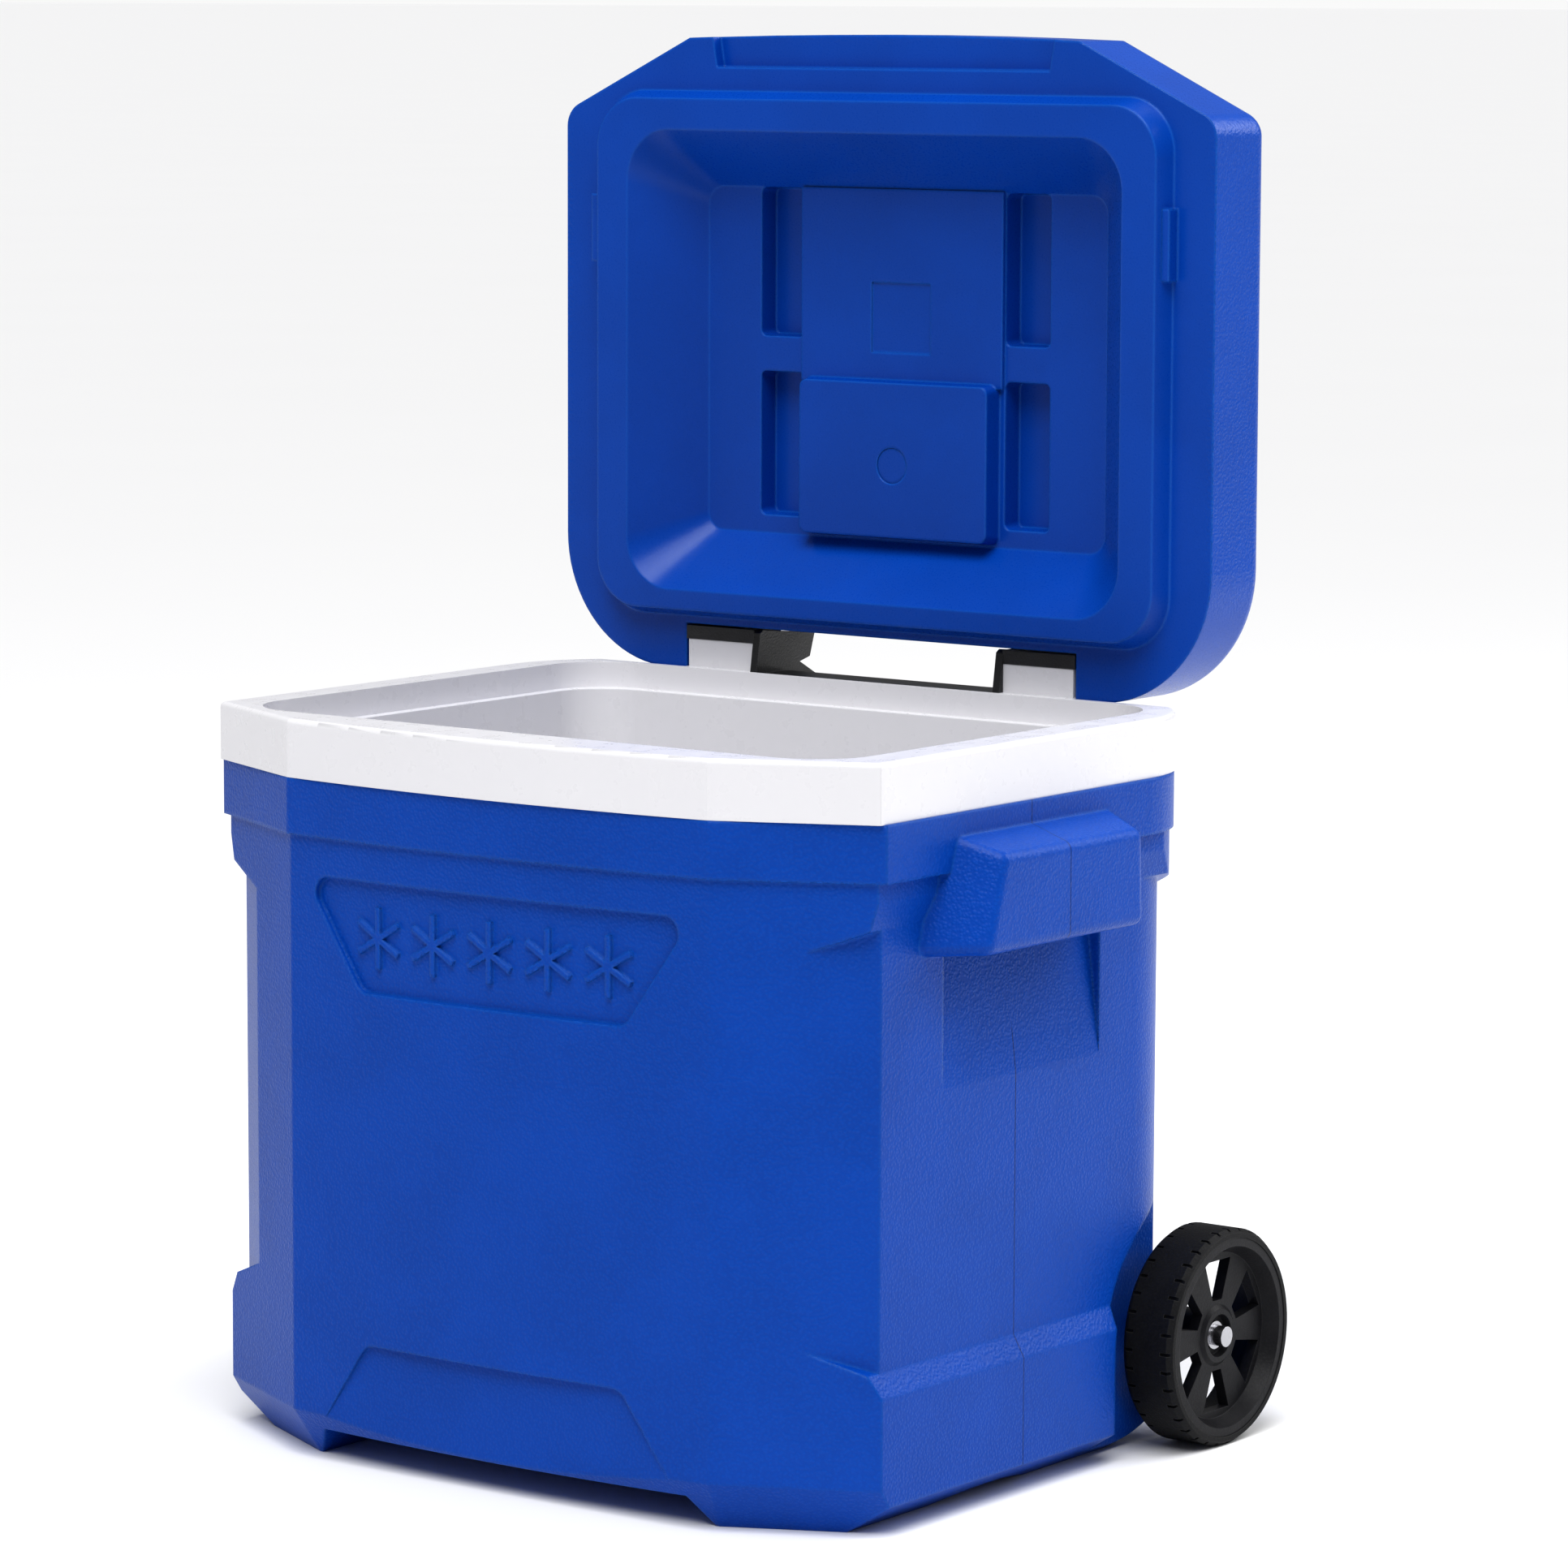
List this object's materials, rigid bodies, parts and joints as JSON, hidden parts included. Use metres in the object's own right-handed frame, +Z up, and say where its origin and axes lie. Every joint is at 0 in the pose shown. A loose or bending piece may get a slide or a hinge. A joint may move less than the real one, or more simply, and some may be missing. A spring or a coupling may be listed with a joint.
{
  "type": "rolling cooler",
  "caption": "Small insulated chest on two wheels, with a hinged foam-filled lid standing open, side grips and a telescoping pull handle behind.",
  "frame": {"origin": "on the ground, midway across the chest and midway between its foremost and rearmost points", "axes": "+Z up, -Y towards the front of the chest, +X towards the right side seen from behind the front face looking at +Y"},
  "size_m": [0.423, 0.3656, 0.649],
  "materials": {
    "blue_shell": "satin",
    "blue_lid": "satin",
    "white_liner": "gloss",
    "foam": "matte",
    "black_moulding": "satin",
    "grip_black": "satin",
    "glide_plastic": "satin",
    "steel": "satin",
    "screw_steel": "satin",
    "bright_cap": "bright",
    "tube_outer": "satin",
    "tube_middle": "satin",
    "tube_inner": "satin",
    "wheel_charcoal": "satin",
    "tyre_black": "matte"
  },
  "bodies": {
    "chest": {"outer_shell": "blue_shell", "inner_liner": "white_liner", "body_foam": "foam", "base_foam_plug": "blue_shell", "hinge_bracket": "black_moulding", "hinge_pin_left": "steel", "hinge_pin_right": "steel", "hinge_cap_screws": "screw_steel", "guide_screws": "screw_steel", "foot_bracket_screws": "screw_steel", "outer_tube_left": "tube_outer", "outer_tube_right": "tube_outer", "foot_bracket": "black_moulding", "axle": "steel", "axle_cap_left": "bright_cap", "axle_cap_right": "bright_cap", "axle_washer_left": "glide_plastic", "axle_washer_right": "glide_plastic"},
    "lid": {"lid_shell": "blue_lid", "lid_foam": "foam", "lid_foam_plug": "blue_lid"},
    "middle_stage": {"middle_tube_left": "tube_middle", "middle_tube_right": "tube_middle", "middle_tube_glides": "glide_plastic", "middle_tube_collars": "black_moulding"},
    "grip_stage": {"inner_tube_left": "tube_inner", "inner_tube_right": "tube_inner", "inner_tube_glides": "glide_plastic", "handle_grip": "grip_black"},
    "left_wheel": {"wheel_left": "wheel_charcoal", "tyre_left": "tyre_black"},
    "right_wheel": {"wheel_right": "wheel_charcoal", "tyre_right": "tyre_black"}
  },
  "joints": [
    {"name": "lid_hinge", "type": "hinge", "parent": "chest", "child": "lid", "pos_m": [0, 0.12215, 0.3496], "axis": [1, 0, 0], "range_deg": [0, 89.7]},
    {"name": "middle_slide", "type": "slide", "parent": "chest", "child": "middle_stage", "axis": [0, 0, 1], "range_m": [0, 0.2]},
    {"name": "grip_slide", "type": "slide", "parent": "middle_stage", "child": "grip_stage", "axis": [0, 0, 1], "range_m": [0, 0.2]},
    {"name": "left_wheel_spin", "type": "hinge", "parent": "chest", "child": "left_wheel", "pos_m": [-0.1957, 0.10825, 0.0508], "axis": [1, 0, 0], "continuous": true},
    {"name": "right_wheel_spin", "type": "hinge", "parent": "chest", "child": "right_wheel", "pos_m": [0.1957, 0.10825, 0.0508], "axis": [1, 0, 0], "continuous": true}
  ],
  "couplings": [
    {"joint": "grip_slide", "follows": "middle_slide", "ratio": 1}
  ]
}
